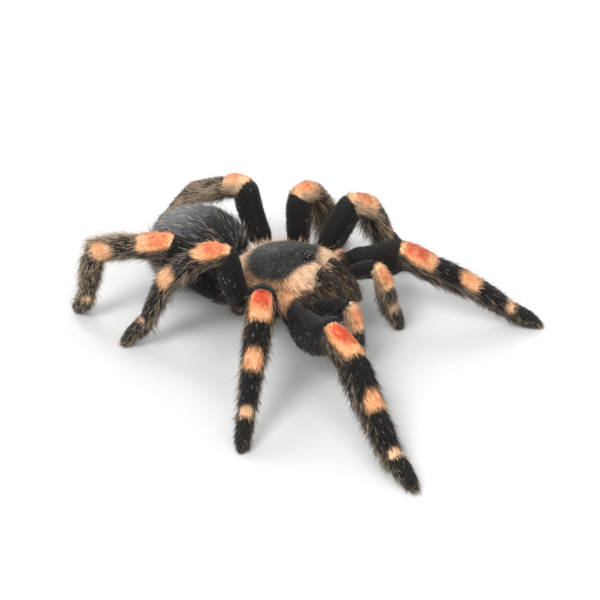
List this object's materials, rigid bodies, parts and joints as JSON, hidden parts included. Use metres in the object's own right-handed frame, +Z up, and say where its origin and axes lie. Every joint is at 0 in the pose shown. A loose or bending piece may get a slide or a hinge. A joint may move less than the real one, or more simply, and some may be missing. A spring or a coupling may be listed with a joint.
{
  "type": "red knee tarantula",
  "caption": "Hairy black tarantula with orange knees and a buff-edged shield, life-size and still, caught in mid-stride.",
  "frame": {"origin": "on the floor, under the middle of the bounding box", "axes": "+Z up, the spider faces -Y, its left side is +X"},
  "size_m": [0.0966, 0.1166, 0.0329],
  "materials": {
    "black_coat": "velvety black hair with long buff guard hairs",
    "orange_knee": "short red-orange hair fading to pale peach",
    "buff_shield": "combed buff hair round a black velvet middle",
    "brown_coat": "dark brown hair with golden and grey-buff hairs",
    "dark_eye": "glossy black, wet-looking lenses",
    "dark_fang": "polished near-black"
  },
  "bodies": {
    "root": {"abdomen": "black_coat", "carapace": "buff_shield", "chelicera_left": "brown_coat", "chelicera_right": "brown_coat", "eye_mound": "dark_eye", "fang_left": "dark_fang", "fang_right": "dark_fang", "leg1_left_femur": "black_coat", "leg1_left_patella": "orange_knee", "leg1_left_tibia": "black_coat", "leg1_left_metatarsus": "brown_coat", "leg1_left_tarsus": "black_coat", "leg1_right_femur": "black_coat", "leg1_right_patella": "orange_knee", "leg1_right_tibia": "black_coat", "leg1_right_metatarsus": "brown_coat", "leg1_right_tarsus": "black_coat", "leg2_left_femur": "black_coat", "leg2_left_patella": "orange_knee", "leg2_left_tibia": "black_coat", "leg2_left_metatarsus": "brown_coat", "leg2_left_tarsus": "black_coat", "leg2_right_femur": "black_coat", "leg2_right_patella": "orange_knee", "leg2_right_tibia": "black_coat", "leg2_right_metatarsus": "brown_coat", "leg2_right_tarsus": "black_coat", "leg3_left_femur": "black_coat", "leg3_left_patella": "orange_knee", "leg3_left_tibia": "black_coat", "leg3_left_metatarsus": "brown_coat", "leg3_left_tarsus": "black_coat", "leg3_right_femur": "black_coat", "leg3_right_patella": "orange_knee", "leg3_right_tibia": "black_coat", "leg3_right_metatarsus": "brown_coat", "leg3_right_tarsus": "black_coat", "leg4_left_femur": "black_coat", "leg4_left_patella": "orange_knee", "leg4_left_tibia": "black_coat", "leg4_left_metatarsus": "brown_coat", "leg4_left_tarsus": "black_coat", "leg4_right_femur": "black_coat", "leg4_right_patella": "orange_knee", "leg4_right_tibia": "black_coat", "leg4_right_metatarsus": "brown_coat", "leg4_right_tarsus": "black_coat", "palp_left_femur": "black_coat", "palp_left_patella": "orange_knee", "palp_left_tibia": "black_coat", "palp_left_tarsus": "black_coat", "palp_right_femur": "black_coat", "palp_right_patella": "orange_knee", "palp_right_tibia": "black_coat", "palp_right_tarsus": "black_coat", "spinneret_left": "brown_coat", "spinneret_right": "brown_coat", "underbody": "brown_coat"}
  },
  "joints": []
}
